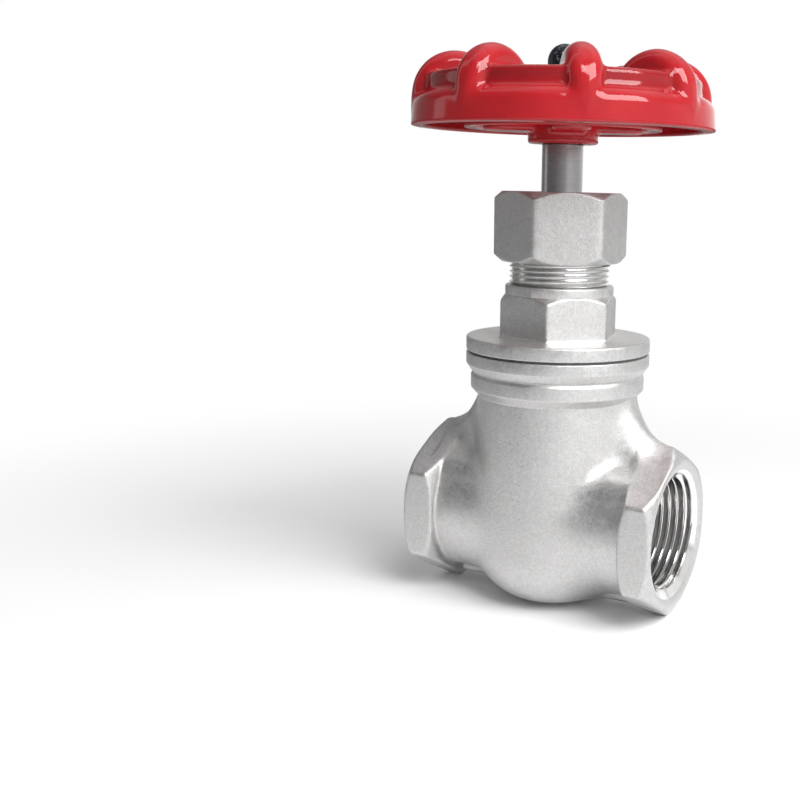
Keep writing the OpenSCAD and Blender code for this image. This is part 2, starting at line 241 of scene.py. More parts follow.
floor_z = cad_low.z
floor_half = 6
floor_mesh = bpy.data.meshes.new("floor")
floor_corners = [(x * floor_half, y * floor_half, floor_z) for x, y in ((-1, -1), (1, -1), (1, 1), (-1, 1))]
floor_mesh.from_pydata(floor_corners, [], [(0, 1, 2, 3)])
floor = bpy.data.objects.new("floor", floor_mesh)
scene.collection.objects.link(floor)


def new_material(name):
    """An empty material with its surface shader, and its node tree."""
    material = bpy.data.materials.new(name)
    material.use_nodes = True
    tree = material.node_tree
    tree.nodes.clear()
    shader = add_node(tree, "ShaderNodeBsdfPrincipled")
    add_node(tree, "ShaderNodeOutputMaterial", Surface=shader.outputs[0])
    return material, tree, shader


# The camera sees the paper fade to white with distance. In reflections it darkens far off and on the left.
paper, tree, shader = new_material("floor_paper")
shader.inputs["Roughness"].default_value = 0.9
shader.inputs["Specular IOR Level"].default_value = 0.1
spot = add_node(tree, "ShaderNodeTexCoord").outputs["Object"]
fibres = add_node(tree, "ShaderNodeTexNoise", Scale=2.0, Detail=3.0, Vector=spot)
pale = ramp(tree, fibres.outputs["Fac"], [(0.3, (0.89, 0.895, 0.90)), (0.7, (0.93, 0.93, 0.935))])
ground_x, ground_y, _ = axes_of(tree, spot)
ground = length_of(ground_x - axis_x, ground_y)
far = Value(tree, ramp(tree, ground, [(0.2, 1.0), (0.7, 0.4)], smooth=True))
camera_ray = Value(tree, add_node(tree, "ShaderNodeLightPath").outputs["Is Camera Ray"])
ground_right = ((ground_x - axis_x) * right_x + ground_y * right_y) / (ground + 0.05)
side = Value(tree, ramp(tree, ground_right * 0.5 + 0.5, [(0, 0.45), (0.25, 0.65), (0.45, 1.0)]))
side = most(side, Value(tree, ramp(tree, ground, [(0.12, 1), (0.24, 0)])))
unseen = side + (1 - side) * camera_ray
dimmed = add_node(tree, "ShaderNodeVectorMath", {"operation": "MULTIPLY"}, n0=pale, n1=unseen * far)
feed(tree, dimmed.outputs[0], shader.inputs["Base Color"])
fade = Value(tree, ramp(tree, ground, [(0.07, 0), (0.25, 1)], smooth=True))
glow = add_node(tree, "ShaderNodeEmission", Color=(1, 1, 1, 1), Strength=1)
faded = add_node(tree, "ShaderNodeMixShader", n0=fade * camera_ray, n1=shader.outputs[0], n2=glow.outputs[0])
output = next(node for node in tree.nodes if node.type == "OUTPUT_MATERIAL")
feed(tree, faded.outputs[0], output.inputs["Surface"])
floor_mesh.materials.append(paper)

# ==== Body casting ====
# The body is one stainless investment casting, blasted to a fine grain: an upright gate chamber with a ringed
# neck, a run with a hexagon at each end, a saddle that carries each hexagon's upper flats back to the
# chamber, and a shoulder on each side that comes down from the neck. Its ports are bored and tapped.


def new_tree(name, sizes):
    """A geometry node tree with its sizes as named inputs, and those inputs as values."""
    tree = bpy.data.node_groups.new(name, "GeometryNodeTree")
    tree.interface.new_socket("Geometry", in_out="OUTPUT", socket_type="NodeSocketGeometry")
    for label, size in sizes.items():
        socket = tree.interface.new_socket(label, in_out="INPUT", socket_type="NodeSocketFloat")
        socket.default_value = size
    entry = tree.nodes.new("NodeGroupInput")
    return tree, {label: Value(tree, entry.outputs[label]) for label in sizes}


def grown(name, tree, geometry, material, sizes):
    """Runs a tree on an empty mesh and returns the plain object that it makes, in metres."""
    real = add_node(tree, "GeometryNodeRealizeInstances", Geometry=geometry)
    faced = add_node(tree, "GeometryNodeSetMaterial", Geometry=real.outputs[0], Material=material)
    add_node(tree, "NodeGroupOutput", Geometry=faced.outputs[0])
    seed = bpy.data.objects.new(name, bpy.data.meshes.new(name + "_seed"))
    scene.collection.objects.link(seed)
    modifier = seed.modifiers.new("shape", "NODES")
    modifier.node_group = tree
    for item in tree.interface.items_tree:
        if item.in_out == "INPUT":
            modifier[item.identifier] = float(sizes[item.name])
    evaluated = seed.evaluated_get(bpy.context.evaluated_depsgraph_get())
    mesh = bpy.data.meshes.new_from_object(evaluated)
    mesh.name = name
    seed.modifiers.remove(modifier)
    mesh.materials.clear()
    mesh.materials.append(material)
    mesh.polygons.foreach_set("material_index", [0] * len(mesh.polygons))
    mesh.transform(Matrix.Scale(MM, 4))
    seed.data = mesh
    return seed


def smooth_min(a, b, blend):
    return a.work("SMOOTH_MIN", b, blend)


def smooth_max(a, b, blend):
    return a.work("SMOOTH_MAX", b, blend)


def rounded_box(a, b, radius):
    """Distance to a box from its two outward distances, with the edge between them rounded."""
    a, b = a + radius, b + radius
    return length_of(most(a, 0), most(b, 0)) + least(most(a, b), 0) - radius


def skin(tree, distance, low, high, step, reach=6):
    """The surface where a distance is nought: a shell cut on a grid, whose points are moved onto it."""
    counts = [round((high[i] - low[i]) / step) + 1 for i in range(3)]
    block = add_node(tree, "GeometryNodeVolumeCube", Density=reach - distance, Min=low, Max=high,
                     Resolution_X=counts[0], Resolution_Y=counts[1], Resolution_Z=counts[2])
    shell = add_node(tree, "GeometryNodeVolumeToMesh", {"resolution_mode": "GRID"},
                     Volume=block.outputs[0], Threshold=reach)
    geometry = shell.outputs[0]
    outward = add_node(tree, "GeometryNodeInputNormal")
    step_back = add_node(tree, "ShaderNodeVectorMath", {"operation": "SCALE"}, n0=outward.outputs[0],
                         Scale=-distance)
    for _ in range(3):
        moved = add_node(tree, "GeometryNodeSetPosition", Geometry=geometry, Offset=step_back.outputs[0])
        geometry = moved.outputs[0]
    smooth = add_node(tree, "GeometryNodeSetShadeSmooth", Geometry=geometry)
    return smooth.outputs[0]


def place(obj, x=0.0, z=0.0, turn=0.0):
    """Moves a mesh made about its own axis into the valve, in millimetres and degrees."""
    turned_about = Matrix.Rotation(math.radians(turn), 4, "Z")
    obj.data.transform(Matrix.Translation((axis_x + x * MM, 0, z * MM)) @ turned_about)
    return obj


wedge_width, rail_clearance = 25.2, 0.3
run_sizes = {"Half run": 30, "Pipe radius": 15, "Hexagon": 33, "Hexagon length": 7.4, "Chamber radius": 17.5,
             "Chamber drop": 18.6, "Floor round": 12, "Bore": 13.75, "Bore depth": 14.6, "Waterway": 10,
             "Seat angle": math.radians(5), "Seat gap": 6, "Rail face": wedge_width / 2 + rail_clearance}
body_tree, size = new_tree("body_casting", run_sizes)
x, y, z = axes_of(body_tree, add_node(body_tree, "GeometryNodeInputPosition").outputs[0])
along = abs(x)
round_axis = length_of(x, y)
round_run = length_of(y, z)

cast_top = 29.6
pipe_end = 26
saddle_end = 25
chamber = rounded_box(round_axis - size["Chamber radius"], -z - size["Chamber drop"], size["Floor round"])
chamber = most(chamber, z - cast_top)
pipe = most(round_run - size["Pipe radius"], along - pipe_end)

# The shoulder is a leaning cone with round ends, thinner across the valve than along it, most so at its foot
foot_x, foot_z, foot_r = 17.6, 11, 10.4
top_x, top_z, top_r = 14.3, 28.5, 2.4
lean_x, lean_z = top_x - foot_x, top_z - foot_z
share = ((along - foot_x) * lean_x + (z - foot_z) * lean_z) / (lean_x ** 2 + lean_z ** 2)
share = most(least(share, 1.0), 0.0)
narrow_at_axis, narrow_slope, narrow_most, narrow_least = 2.16, 0.045, 1.55, 1.1
narrowing = most(least(narrow_at_axis - z * narrow_slope, narrow_most), narrow_least)
shoulder = length_of(along - foot_x - share * lean_x, y * narrowing, z - foot_z - share * lean_z)
shoulder = shoulder - foot_r + share * (foot_r - top_r)
shoulder = most(shoulder, z - cast_top)

# Each hexagon is chamfered on both its faces, and all its edges are a little soft
corner_soft, crown_soft, chamfer_soft, face_soft = 0.5, 0.6, 0.7, 0.5
tilt_y, tilt_z = math.cos(math.radians(60)), math.sin(math.radians(60))
flat = size["Hexagon"] * 0.5
faces = smooth_max(abs(y) - flat, abs(y) * tilt_y + abs(z) * tilt_z - flat, corner_soft)
slab_in = size["Half run"] - size["Hexagon length"]
crown_rise, crown_length = 2.55, 1.6
crown_slope = crown_rise / crown_length
crown_scale = 1 / math.hypot(1, crown_slope)
outer_crown = (round_run - flat + (along - size["Half run"]) * crown_slope) * crown_scale
inner_crown = (round_run - flat + (slab_in - along) * crown_slope) * crown_scale
end = smooth_max(faces, smooth_max(outer_crown, inner_crown, crown_soft), chamfer_soft)
end = smooth_max(end, most(along - size["Half run"], slab_in - along), face_soft)

# A narrow keel runs below the pipe, and the saddle above it lies a hair under the hexagon's flats
keel_half, keel_drop, keel_top, keel_round = 2.5, 16.8, -10, 0.5
keel = rounded_box(most(abs(y) - keel_half, along - saddle_end), -z - keel_drop, keel_round)
keel = most(keel, z - keel_top)
saddle_half, saddle_step, saddle_round = 12.6, 0.1, 2.5
saddle = rounded_box(abs(y) * tilt_y + z * tilt_z - flat + saddle_step, abs(y) - saddle_half, saddle_round)
saddle = most(saddle, most(along - saddle_end, -z))

# Cast fillets run into one another, widest where the shoulder meets the chamber and the hexagon
shoulder_fillet, run_fillet, saddle_fillet, end_fillet, keel_fillet = 8.0, 4.4, 3.0, 1.2, 0.6
upright = smooth_min(chamber, shoulder, shoulder_fillet)
run = smooth_min(smooth_min(pipe, saddle, saddle_fillet), keel, keel_fillet)
casting = smooth_min(upright, run, run_fillet)
casting = smooth_min(casting, smooth_min(shoulder, end, shoulder_fillet), end_fillet)

# Inside are the cavity with its seat rings and guide rails, the waterway and the two bored ports
wall = 3
seat_ring_radius, rail_half = 13, 1.5
mouth_radius, mouth_slope, mouth_soft = 15.4, 2.0, 0.2
bore = most(round_run - size["Bore"], size["Half run"] - size["Bore depth"] - along)
waterway = round_run - size["Waterway"]
seat_x = along * size["Seat angle"].work("COSINE") - z * size["Seat angle"].work("SINE")
seat_ring = most(round_run - seat_ring_radius, size["Seat gap"] - seat_x)
rails = most(along - rail_half, size["Rail face"] - abs(y))
cavity = rounded_box(round_axis - size["Chamber radius"] + wall, wall - z - size["Chamber drop"],
                     size["Floor round"] - wall)
hollow = most(most(cavity, -seat_ring), -rails)
hollow = least(hollow, least(bore, waterway))
mouth_scale = 1 / math.hypot(1, mouth_slope)
mouth = (round_run - mouth_radius + (size["Half run"] - along) * mouth_slope) * mouth_scale
casting = smooth_max(most(casting, -hollow), -mouth, mouth_soft)


def new_group(name, inputs, outputs):
    """A shader node group with the inputs and outputs named, and its inputs as values."""
    group = bpy.data.node_groups.new(name, "ShaderNodeTree")
    for label, number in inputs.items():
        socket = group.interface.new_socket(label, in_out="INPUT", socket_type="NodeSocketFloat")
        socket.default_value = number
    for label in outputs:
        group.interface.new_socket(label, in_out="OUTPUT", socket_type="NodeSocketFloat")
    entry = group.nodes.new("NodeGroupInput")
    return group, {label: Value(group, entry.outputs[label]) for label in inputs}


def noise(tree, vector, grain_mm, detail=2.0, roughness=0.5):
    """Noise whose lumps are about one grain across, from a vector in metres."""
    per_metre = grain_mm.work("POWER", -1) * 1000 if isinstance(grain_mm, Value) else 1000 / grain_mm
    node = add_node(tree, "ShaderNodeTexNoise", Vector=vector, Scale=per_metre, Detail=detail,
                    Roughness=roughness)
    return Value(tree, node.outputs["Fac"])


blast_grain, size = new_group("blast_grain", {"Grain": 0.4, "Mottle": 3.0}, ("Height", "Tone", "Dullness"))
spot = add_node(blast_grain, "ShaderNodeTexCoord").outputs["Object"]
fine = noise(blast_grain, spot, size["Grain"], 3.0, 0.6)
coarse = noise(blast_grain, spot, size["Grain"] * 2.7, 2.0)
mottle = noise(blast_grain, spot, size["Mottle"], 3.0)
add_node(blast_grain, "NodeGroupOutput", Height=fine * 0.65 + coarse * 0.35,
         Tone=fine * 0.6 + coarse * 0.28 + mottle * 0.12, Dullness=coarse * 0.6 + mottle * 0.4)


def blasted(name, dark, light, rough, bump_mm, grain, mottle_mm):
    """Cast stainless, blasted: two close greys, a roughness that wanders, and a fine grain."""
    material, tree, shader = new_material(name)
    shader.inputs["Metallic"].default_value = 1
    grain_node = add_node(tree, "ShaderNodeGroup", {"node_tree": blast_grain}, Grain=grain, Mottle=mottle_mm)
    feed(tree, ramp(tree, grain_node.outputs["Tone"], [(0.35, dark), (0.65, light)]),
         shader.inputs["Base Color"])
    feed(tree, ramp(tree, grain_node.outputs["Dullness"], [(0.3, rough[0]), (0.7, rough[1])]),
         shader.inputs["Roughness"])
    bump = add_node(tree, "ShaderNodeBump", Height=grain_node.outputs["Height"], Strength=1.0,
                    Distance=bump_mm * MM)
    feed(tree, bump.outputs[0], shader.inputs["Normal"])
    return material


cast_steel = blasted("cast_stainless", dark=(0.545, 0.54, 0.535), light=(0.735, 0.73, 0.725),
                     rough=(0.38, 0.54), bump_mm=0.09, grain=0.36, mottle_mm=4.0)

body_low, body_high = (-31.0, -19.5, -20.0), (31.0, 19.5, 31.0)
casting_skin = skin(body_tree, casting, body_low, body_high, step=0.49)
valve_body = place(grown("valve_body", body_tree, casting_skin, cast_steel, run_sizes))


def outline(corners, step=None, facets=5):
    """Points round a closed outline of (radius, height, fillet, flats, spread) corners. Each is rounded by
    its fillet, flats give the hexagon that cuts the part there, and spread is a foot outside the hexagon."""
    full = [tuple(c) + (0, 0, 0)[len(c) - 2:] for c in corners]
    rows = []
    for k, (r, h, fillet, flats, spread) in enumerate(full):
        here = np.array((r, h), float)
        before, after = (np.array(full[(k + d) % len(full)][:2], float) - here for d in (-1, 1))
        if not fillet:
            rows.append((r, h, flats, spread))
            continue
        a, b = before / np.linalg.norm(before), after / np.linalg.norm(after)
        half = math.acos(np.clip(a @ b, -1, 1)) / 2
        cut = min(fillet / math.tan(half), np.linalg.norm(before) * 0.49, np.linalg.norm(after) * 0.49)
        for t in np.linspace(0, 1, facets):
            p = here + (1 - t) ** 2 * a * cut + t ** 2 * b * cut
            rows.append((*p, flats, spread))
    if step is None:
        return rows
    fine = []
    for k, row in enumerate(rows):
        after = rows[(k + 1) % len(rows)]
        fine.append(row)
        if row[2] and after[2]:
            count = int(math.hypot(row[0] - after[0], row[1] - after[1]) / step)
            for t in np.linspace(0, 1, count + 2)[1:-1]:
                fine.append(tuple(row[i] + (after[i] - row[i]) * t if i != 2 else row[2] for i in range(4)))
    return fine


AROUND = 144
CORNER_SHARPNESS = 70


def turned(name, rows, material, around=AROUND, hex_turn=0.0, sharp=32):
    """A ring turned from an outline about the stem axis, with the corners of its hexagons a little soft."""
    angles = np.arange(around) * 2 * math.pi / around
    flat_at = np.radians(hex_turn + 60 * np.arange(6))[:, None]
    facing = np.maximum(np.cos(angles[None, :] - flat_at), 1e-6)
    points = []
    for r, h, flats, spread in rows:
        ring = np.full(around, float(r))
        if flats:
            sides = ((facing / (flats / 2)) ** CORNER_SHARPNESS).sum(0)
            ring = (ring ** -CORNER_SHARPNESS + sides) ** (-1 / CORNER_SHARPNESS) + spread
        points.append(np.stack([ring * np.cos(angles), ring * np.sin(angles), np.full(around, float(h))], 1))
    faces = []
    for k in range(len(rows)):
        a, b = k * around, ((k + 1) % len(rows)) * around
        faces += [(a + i, a + (i + 1) % around, b + (i + 1) % around, b + i) for i in range(around)]
    mesh = bpy.data.meshes.new(name)
    mesh.from_pydata(np.concatenate(points) * MM, [], faces)
    mesh.materials.append(material)
    return finished(name, mesh, sharp)


def finished(name, mesh, sharp):
    """Merges doubles, turns faces outwards, shades smooth with true edges kept, and links the object."""
    work = bmesh.new()
    work.from_mesh(mesh)
    bmesh.ops.remove_doubles(work, verts=work.verts, dist=1e-6)
    bmesh.ops.dissolve_degenerate(work, edges=work.edges, dist=1e-7)
    bmesh.ops.recalc_face_normals(work, faces=work.faces)
    work.to_mesh(mesh)
    work.free()
    mesh.shade_smooth()
    mesh.set_sharp_from_angle(angle=math.radians(sharp))
    obj = bpy.data.objects.new(name, mesh)
    scene.collection.objects.link(obj)
    return obj


def joined(parts, name):
    """Joins meshes of one material into the first object, which takes the name given."""
    kept, *others = parts
    work = bmesh.new()
    for part in parts:
        work.from_mesh(part.data)
    work.to_mesh(kept.data)
    work.free()
    for part in others:
        bpy.data.objects.remove(part)
    kept.name = kept.data.name = name
    return kept


# The neck has a lower ring, a groove above it and a flange that the bonnet's flange meets
ring_r, groove_r, neck_flange_r, neck_bore_r, neck_top = 19.1, 18.75, 20.15, 15.73, 37.4
neck_rows = outline([(16.2, 27.0), (17.4, 27.1), (17.55, 27.9, 0.4), (ring_r, cast_top, 0.6),
                     (ring_r, 32.3, 0.3), (groove_r, 32.85, 0.1), (groove_r, 33.1, 0.1), (ring_r, 33.4, 0.2),
                     (neck_flange_r, 35.0, 0.4), (neck_flange_r, neck_top, 0.3), (neck_bore_r, neck_top),
                     (neck_bore_r, 29.0)])
neck = place(turned("neck", neck_rows, cast_steel))
valve_body = joined([valve_body, neck], "valve_body")
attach(valve_body, "valve")
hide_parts("body")

# ==== Port threads ====
# Each port is bored, given a short steep countersink and tapped with a pipe thread, fourteen to the inch. The
# cut metal is bright against the blasted casting.

PORT_THREAD = {"Crest radius": 12.2, "Depth": 1.45, "Side": 1, "Pitch": 1.814, "Length": 14.0,
               "Wall radius": 14.2, "Wall flare": 0.9, "Start bevel": 1.9, "Start slope": 2.0,
               "End bevel": 1.2, "End slope": 0.8, "Hand": 1}
ROWS_A_TURN = 10


def threaded(name, material, sizes, around=AROUND):
    """A threaded tube along +Z from nought, with a bevel at each end and a plain wall on its other side. Side
    is 1 for grooves cut outwards and -1 for grooves cut inwards, and Hand is -1 for a left-hand thread."""
    tree, size = new_tree(name + "_thread", sizes)
    turns = math.ceil(sizes["Length"] / sizes["Pitch"]) + 1
    rows = ROWS_A_TURN * turns + 4
    sheet = add_node(tree, "GeometryNodeMeshGrid", Size_X=float(around), Size_Y=float(rows - 1),
                     Vertices_X=around + 1, Vertices_Y=rows)
    column, row, _ = axes_of(tree, add_node(tree, "GeometryNodeInputPosition").outputs[0])
    turn_share = (column + around / 2) / around
    row = (row + (rows - 1) / 2).work("ROUND")
    pitches = (row - 2) / ROWS_A_TURN
    along = most(least((pitches - 1 + turn_share) * size["Pitch"], size["Length"]), 0.0)
    ridge = abs(pitches.work("FRACT") * 2 - 1)
    flank_gain, crest_cut = 1.2, 0.1
    groove = ((1 - ridge) * flank_gain - crest_cut).work("ADD", 0, clamp=True) * size["Depth"]
    bevel = most(size["Start bevel"] - along * size["Start slope"],
                 size["End bevel"] - (size["Length"] - along) * size["End slope"])
    radius = size["Crest radius"] + size["Side"] * most(groove, bevel)
    first = row.work("LESS_THAN", 0.5)
    first_two = row.work("LESS_THAN", 1.5)
    last = row.work("GREATER_THAN", rows - 1.5)
    on_wall = first_two + last
    radius = radius + (size["Wall radius"] + size["Wall flare"] * (first_two - first) - radius) * on_wall
    along = along * (1 - on_wall) + size["Length"] * (first + last)
    angle = turn_share * (2 * math.pi)
    spot = add_node(tree, "ShaderNodeCombineXYZ", X=radius * angle.work("COSINE"),
                    Y=radius * angle.work("SINE") * size["Hand"], Z=along)
    bent = add_node(tree, "GeometryNodeSetPosition", Geometry=sheet.outputs["Mesh"], Position=spot.outputs[0])
    welded = add_node(tree, "GeometryNodeMergeByDistance", Geometry=bent.outputs[0], Distance=0.002)
    made = grown(name, tree, welded.outputs[0], material, sizes)
    mesh = made.data
    bpy.data.objects.remove(made)
    return finished(name, mesh, 25)


tool_marks, size = new_group("tool_marks", {"Line": 0.12, "Stretch": 40.0}, ("Height", "Tone"))
spot = add_node(tool_marks, "ShaderNodeTexCoord").outputs["Object"]
east, north, up = axes_of(tool_marks, spot)
lines = add_node(tool_marks, "ShaderNodeCombineXYZ", X=east / size["Stretch"], Y=north / size["Stretch"],
                 Z=up)
fine = noise(tool_marks, lines.outputs[0], size["Line"], 2.0, 0.6)
broad = noise(tool_marks, spot, size["Line"] * 12, 2.0)
add_node(tool_marks, "NodeGroupOutput", Height=fine, Tone=fine * 0.5 + broad * 0.5)


def machined(name, dark, light, rough, bump_mm, line=0.12, stretch=40.0):
    """Turned or cut stainless: bright, with fine lines round the axis and a little change of tone."""
    material, tree, shader = new_material(name)
    shader.inputs["Metallic"].default_value = 1
    marks = add_node(tree, "ShaderNodeGroup", {"node_tree": tool_marks}, Line=line, Stretch=stretch)
    tone = marks.outputs["Tone"]
    feed(tree, ramp(tree, tone, [(0.35, dark), (0.65, light)]), shader.inputs["Base Color"])
    feed(tree, ramp(tree, tone, [(0.3, rough[0]), (0.7, rough[1])]), shader.inputs["Roughness"])
    bump = add_node(tree, "ShaderNodeBump", Height=marks.outputs["Height"], Strength=1.0,
                    Distance=bump_mm * MM)
    feed(tree, bump.outputs[0], shader.inputs["Normal"])
    return material


tapped_steel = machined("tapped_stainless", (0.80, 0.795, 0.79), (0.92, 0.915, 0.91), (0.08, 0.16), 0.004,
                        line=0.3, stretch=1.0)
thread_start = 29.4
port_in = threaded("port_in", tapped_steel, PORT_THREAD)
port_out = threaded("port_out", tapped_steel, PORT_THREAD)
for port, side in ((port_in, -1), (port_out, 1)):
    quarter = Matrix.Rotation(math.radians(-90 * side), 4, "Y")
    port.data.transform(Matrix.Translation((axis_x + side * thread_start * MM, 0, 0)) @ quarter)
port_threads = joined([port_in, port_out], "port_threads")
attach(port_threads, "valve")

# ==== Bonnet ====
# The bonnet is cast in the same steel and screwed into the neck by its hexagon, on a thin gasket. Its flange
# rests on the body, and a fine turned thread above the hexagon carries the gland nut.

hex_flats, hex_low, hex_corner = 23.3, 40.8, 14.4
flange_r, flange_low = 20.15, 37.9
collar_r, collar_top = 11.8, 52.0
skirt_r, packing_r, stem_hole_r = 15.7, 6.85, 4.05
bonnet_rows = outline([
    (13.2, 28.5), (skirt_r, 28.5, 0.4), (skirt_r, flange_low), (flange_r, flange_low, 0.3),
    (flange_r, hex_low, 0.5), (17.0, hex_low), (hex_corner, hex_low, 0, hex_flats, 0.5),
    (hex_corner, hex_low + 0.1, 0, hex_flats, 0.22), (hex_corner, hex_low + 0.3, 0, hex_flats, 0.06),
    (hex_corner, hex_low + 0.7, 0, hex_flats, 0), (13.75, 48.5, 0.3, hex_flats), (11.75, 50.0, 0, hex_flats),
    (collar_r, 50.15), (collar_r, collar_top, 0.35), (10.6, collar_top), (packing_r, collar_top),
    (packing_r, 46.4), (stem_hole_r, 46.4), (stem_hole_r, 40.8), (7.8, 40.8), (7.8, 36.0), (13.2, 36.0)],
    step=0.16)
bonnet_shell = place(turned("bonnet_shell", bonnet_rows, cast_steel, around=360, hex_turn=75.5))
NECK_THREAD = {"Crest radius": 11.0, "Depth": 0.65, "Side": -1, "Pitch": 1.1, "Length": 14.2,
               "Wall radius": packing_r, "Wall flare": 0, "Start bevel": 0.95, "Start slope": 1.6,
               "End bevel": 0.9, "End slope": 1.0, "Hand": 1}
cut_steel = machined("cut_stainless", (0.70, 0.695, 0.69), (0.84, 0.835, 0.83), (0.14, 0.24), 0.004,
                     line=0.3, stretch=1.0)
bonnet_thread = place(threaded("bonnet_thread", cut_steel, NECK_THREAD), z=collar_top)
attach(bonnet_shell, "valve")
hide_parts("bonnet")
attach(bonnet_thread, "valve")

# ==== Gland nut ====
# A hexagon nut in blasted stainless, chamfered at both ends, and darker than the castings as painted shade
# for the wheel's shadow over it. It runs on the bonnet's thread and presses the gland down onto the packing.

nut_low, nut_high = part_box("gland_nut")
nut_base, nut_top = nut_low.z / MM, nut_high.z / MM
nut_flats, chamfer_r, chamfer_z = 25.4, 12.75, 1.5
nut_corner, stem_gap_r, thread_bore = 14.55, 4.7, 10.05
nut_rows = outline([
    (11.6, nut_base, 0, nut_flats), (chamfer_r, nut_base, 0.3, nut_flats),
    (nut_corner, nut_base + chamfer_z, 0.4, nut_flats), (nut_corner, nut_top - chamfer_z, 0.4, nut_flats),
    (chamfer_r, nut_top, 0.3, nut_flats), (9.0, nut_top, 0, nut_flats), (stem_gap_r, nut_top),
    (stem_gap_r, nut_top - 3.9), (thread_bore, nut_top - 3.9), (thread_bore, nut_base + 0.9),
    (11.1, nut_base)], step=0.16)
# The nut's darker greys are painted shade, standing for the shadow that the wheel casts on it.
nut_steel_painted_shade = blasted("nut_stainless_painted_shade", dark=(0.49, 0.485, 0.48), light=(0.66, 0.655, 0.65), rough=(0.44, 0.60),
                    bump_mm=0.09, grain=0.36, mottle_mm=4.0)
gland_nut = place(turned("hex_gland_nut", nut_rows, nut_steel_painted_shade, around=360, hex_turn=63))
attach(gland_nut, "valve")
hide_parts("gland_nut")

# ==== Stem ====
# The stem is turned from bar: a left-hand lifting screw, a thrust collar under the packing, a plain shank, a
# square for the wheel and a stud for the nut. The square is hidden in the hub, so it is left round here.

bright_bar = machined("turned_stainless", (0.38, 0.375, 0.38), (0.47, 0.465, 0.47), (0.20, 0.30), 0.006)
hub_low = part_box("handwheel")[0].z / MM
square_top = hub_low + 9.4
stem_top = stem_high.z / MM
axle, screw_core, shank_r, thrust_r, square_r, stud_r = 0.01, 3.9, 4.4, 6.8, 3.1, 2.5
stem_rows = outline([(axle, 46.0), (screw_core, 46.0), (thrust_r, 46.43, 0.3), (thrust_r, 49.43, 0.3),
                     (shank_r, 49.43), (shank_r, hub_low - 0.01, 0.2), (square_r, hub_low),
                     (square_r, square_top, 0.3), (stud_r, square_top), (stud_r, stem_top, 0.4),
                     (axle, stem_top)])
stem = place(turned("stem_shank", stem_rows, bright_bar))
LIFT_SCREW = {"Crest radius": 4.0, "Depth": 1.2, "Side": -1, "Pitch": 3.0, "Length": 34.3, "Wall radius": 0.3,
              "Wall flare": 0, "Start bevel": 0.9, "Start slope": 1.0, "End bevel": 0.0, "End slope": 1.0,
              "Hand": -1}
screw = place(threaded("lift_screw", bright_bar, LIFT_SCREW, around=72), z=12.0)
stem = joined([stem, screw], "turned_stem")
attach(stem, "stem_and_wheel")
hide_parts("stem")

# ==== Handwheel ====
# A die-cast wheel under glossy red enamel, darkened in the recess above the band as painted shade: a hollow
# rim with a smooth outer band, eight finger lobes that stand across it, four flat spokes and a deep hub on
# the stem's square.

wheel_z = 84.6
wheel_sizes = {"Radius": 32, "Band height": 6, "Rim height": 10.3, "Recess": 3.2, "Inner radius": 18.4,
               "Shell": 2.6, "Lobe radius": 9.1, "Lobe centre": 22.6, "Lobe height": 6, "Lobe half": 3.5,
               "Spoke half": 4.1, "Spoke reach": 17, "Hub radius": 7.5, "Square": 6.38}
wheel_tree, size = new_tree("handwheel_casting", wheel_sizes)
x, y, z = axes_of(wheel_tree, add_node(wheel_tree, "GeometryNodeInputPosition").outputs[0])
out = length_of(x, y)
bearing = y.work("ARCTAN2", x)


def in_sector(count):
    """Distances outwards and sideways from the middle of the nearest of so many equal sectors."""
    sector = (2 * math.pi) / count
    local = bearing - (bearing / sector).work("ROUND") * sector
    return out * local.work("COSINE"), abs(out * local.work("SINE"))


def between(value, low, high):
    """Outward distance from the strip between two places."""
    return abs(value - (low + high) * 0.5) - (high - low) * 0.5


band_draft, band_inside, band_rise, band_round, band_foot = 0.09, 22, 0.3, 2.4, 0.5
rim_draft, rim_round, rim_fillet = 0.03, 1.1, 3.2
band = rounded_box(out - size["Radius"] + z * band_draft, z - size["Band height"] - band_rise, band_round)
band = smooth_max(band, -z, band_foot)
band = most(band, band_inside - out)
upper = rounded_box(between(out, size["Inner radius"], size["Radius"] - size["Recess"]),
                    between(z, 0, size["Rim height"]), rim_round)
rim = smooth_min(band, upper, rim_fillet)

# The lobes are discs on edge, fattest a little above the rim
lobe_count, fattest_z, waisting = 8, 10.5, 0.025
lobe_round, lobe_foot, lobe_band_fillet, lobe_rim_fillet = 2.8, 1.0, 2.4, 1.6
lobe_out, lobe_side = in_sector(lobe_count)
disc = length_of(lobe_out - size["Lobe centre"], z - size["Lobe height"]) - size["Lobe radius"]
thinned = (z - fattest_z) * (z - fattest_z) * waisting
lobes = most(rounded_box(disc, lobe_side - size["Lobe half"] + thinned, lobe_round), lobe_foot - z)
rim = least(rim, smooth_min(band, lobes, lobe_band_fillet))
rim = least(rim, smooth_min(upper, lobes, lobe_rim_fillet))
rim = most(rim, out - size["Radius"] + z * rim_draft)

# The rim is hollow underneath, deeper under the upper ring than under the band
pocket_round, pocket_edge = 1.0, 0.8
hollow_in = size["Inner radius"] + size["Shell"]
pocket = rounded_box(between(out, hollow_in, size["Radius"] - size["Shell"]),
                     z - size["Band height"] + size["Shell"], pocket_round)
deep = rounded_box(between(out, hollow_in, size["Radius"] - size["Recess"] - size["Shell"]),
                   z - size["Rim height"] + size["Shell"], pocket_round)
rim = smooth_max(rim, -least(pocket, deep), pocket_edge)

